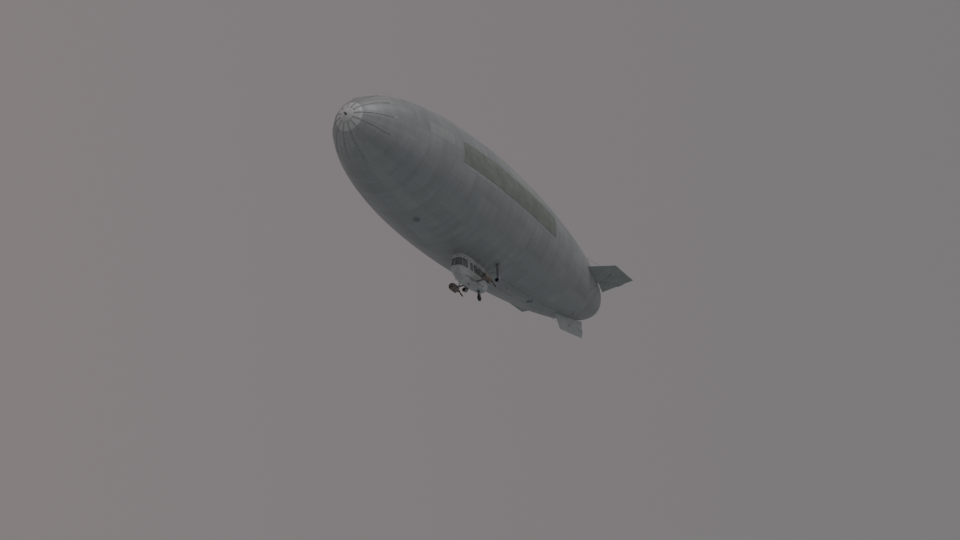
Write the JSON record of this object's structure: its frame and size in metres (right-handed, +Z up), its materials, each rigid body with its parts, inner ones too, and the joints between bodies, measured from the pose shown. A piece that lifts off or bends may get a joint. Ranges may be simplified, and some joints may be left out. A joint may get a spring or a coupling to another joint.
{
  "type": "non-rigid airship, 1:2 scale model",
  "caption": "Non-rigid airship with a cruciform tail, a glazed cabin car, pusher propellers on outriggers and a castering landing wheel; 1:2 scale model.",
  "frame": {"origin": "centre of buoyancy, on the axis of the envelope", "axes": "+X along the envelope's axis to the nose, +Y to port, +Z up"},
  "size_m": [29.4903, 8.1, 9.55],
  "materials": {
    "envelope_cloth": "aluminised coated cloth",
    "fin_cloth": "doped cloth over a frame",
    "stay_wire": "wire",
    "car_paint": "satin paint",
    "floor_board": "covered board",
    "window_acrylic": "clear acrylic",
    "seat_cloth": "woven",
    "panel_plastic": "matt",
    "strut_paint": "satin paint",
    "nacelle_paint": "satin paint, sooted",
    "engine_iron": "cast",
    "exhaust_steel": "heat-stained",
    "propeller_paint": "satin paint",
    "scoop_aluminium": "sheet",
    "tyre_rubber": "rubber",
    "batten_aluminium": "sheet"
  },
  "bodies": {
    "hull": {"envelope": "envelope_cloth", "nose_dish": "batten_aluminium", "mooring_spindle": "strut_paint", "tail_cap": "batten_aluminium", "air_valve_fore": "batten_aluminium", "air_valve_aft": "batten_aluminium", "fin_top": "fin_cloth", "fin_port": "fin_cloth", "fin_starboard": "fin_cloth", "fin_bottom": "fin_cloth", "fin_stay_top_a": "stay_wire", "fin_stay_top_b": "stay_wire", "fin_stay_port_a": "stay_wire", "fin_stay_port_b": "stay_wire", "fin_stay_starboard_a": "stay_wire", "fin_stay_starboard_b": "stay_wire", "fin_stay_bottom_a": "stay_wire", "fin_stay_bottom_b": "stay_wire", "car_pan": "car_paint", "car_floor": "floor_board", "car_roof": "car_paint", "car_nose": "car_paint", "car_tail": "car_paint", "car_side_port": "car_paint", "car_side_starboard": "car_paint", "windscreen": "window_acrylic", "tail_window": "window_acrylic", "side_windows_port": "window_acrylic", "side_windows_starboard": "window_acrylic", "pilot_seats": "seat_cloth", "middle_seats": "seat_cloth", "aft_seats": "seat_cloth", "rear_bench": "seat_cloth", "instrument_panel": "panel_plastic", "control_wheel": "panel_plastic", "handrail_port": "strut_paint", "handrail_starboard": "strut_paint", "outrigger_port": "strut_paint", "outrigger_starboard": "strut_paint", "nacelle_port": "nacelle_paint", "nacelle_starboard": "nacelle_paint", "engine_port": "engine_iron", "engine_starboard": "engine_iron", "exhaust_port": "exhaust_steel", "exhaust_starboard": "exhaust_steel", "air_scoop_port": "scoop_aluminium", "air_scoop_starboard": "scoop_aluminium", "gear_leg": "strut_paint"},
    "rudder_top": {"rudder_top": "fin_cloth"},
    "rudder_bottom": {"rudder_bottom": "fin_cloth"},
    "elevator_port": {"elevator_port": "fin_cloth"},
    "elevator_starboard": {"elevator_starboard": "fin_cloth"},
    "propeller_port": {"propeller_port": "propeller_paint"},
    "propeller_starboard": {"propeller_starboard": "propeller_paint"},
    "door": {"car_door": "car_paint", "door_window": "window_acrylic"},
    "fork": {"caster_fork": "strut_paint"},
    "wheel": {"wheel_hub": "strut_paint", "tyre": "tyre_rubber"}
  },
  "joints": [
    {"name": "rudder_top_turn", "type": "hinge", "parent": "hull", "child": "rudder_top", "pos_m": [-12.25, 0, 3.05], "axis": [0, 0, 1], "range_deg": [-25, 25]},
    {"name": "rudder_bottom_turn", "type": "hinge", "parent": "hull", "child": "rudder_bottom", "pos_m": [-12.25, 0, -2.56], "axis": [0, 0, 1], "range_deg": [-25, 25]},
    {"name": "elevator_port_turn", "type": "hinge", "parent": "hull", "child": "elevator_port", "pos_m": [-12.25, 3.05, 0], "axis": [0, 1, 0], "range_deg": [-25, 25]},
    {"name": "elevator_starboard_turn", "type": "hinge", "parent": "hull", "child": "elevator_starboard", "pos_m": [-12.25, -3.05, 0], "axis": [0, 1, 0], "range_deg": [-25, 25]},
    {"name": "propeller_port_spin", "type": "hinge", "parent": "hull", "child": "propeller_port", "pos_m": [0.745, 1.075, -4.745], "axis": [1, 0, 0], "continuous": true},
    {"name": "propeller_starboard_spin", "type": "hinge", "parent": "hull", "child": "propeller_starboard", "pos_m": [0.745, -1.075, -4.745], "axis": [1, 0, 0], "continuous": true},
    {"name": "door_swing", "type": "hinge", "parent": "hull", "child": "door", "pos_m": [2.045, 0.456, -4.15], "axis": [0, 0, -1], "range_deg": [0, 100]},
    {"name": "caster_swivel", "type": "hinge", "parent": "hull", "child": "fork", "pos_m": [0.4, 0, -5.1], "axis": [0, 0, 1], "continuous": true},
    {"name": "wheel_roll", "type": "hinge", "parent": "fork", "child": "wheel", "pos_m": [0.35, 0, -5.3265], "axis": [0, 1, 0], "continuous": true}
  ],
  "couplings": [
    {"joint": "rudder_bottom_turn", "follows": "rudder_top_turn", "ratio": 1},
    {"joint": "elevator_starboard_turn", "follows": "elevator_port_turn", "ratio": 1}
  ]
}
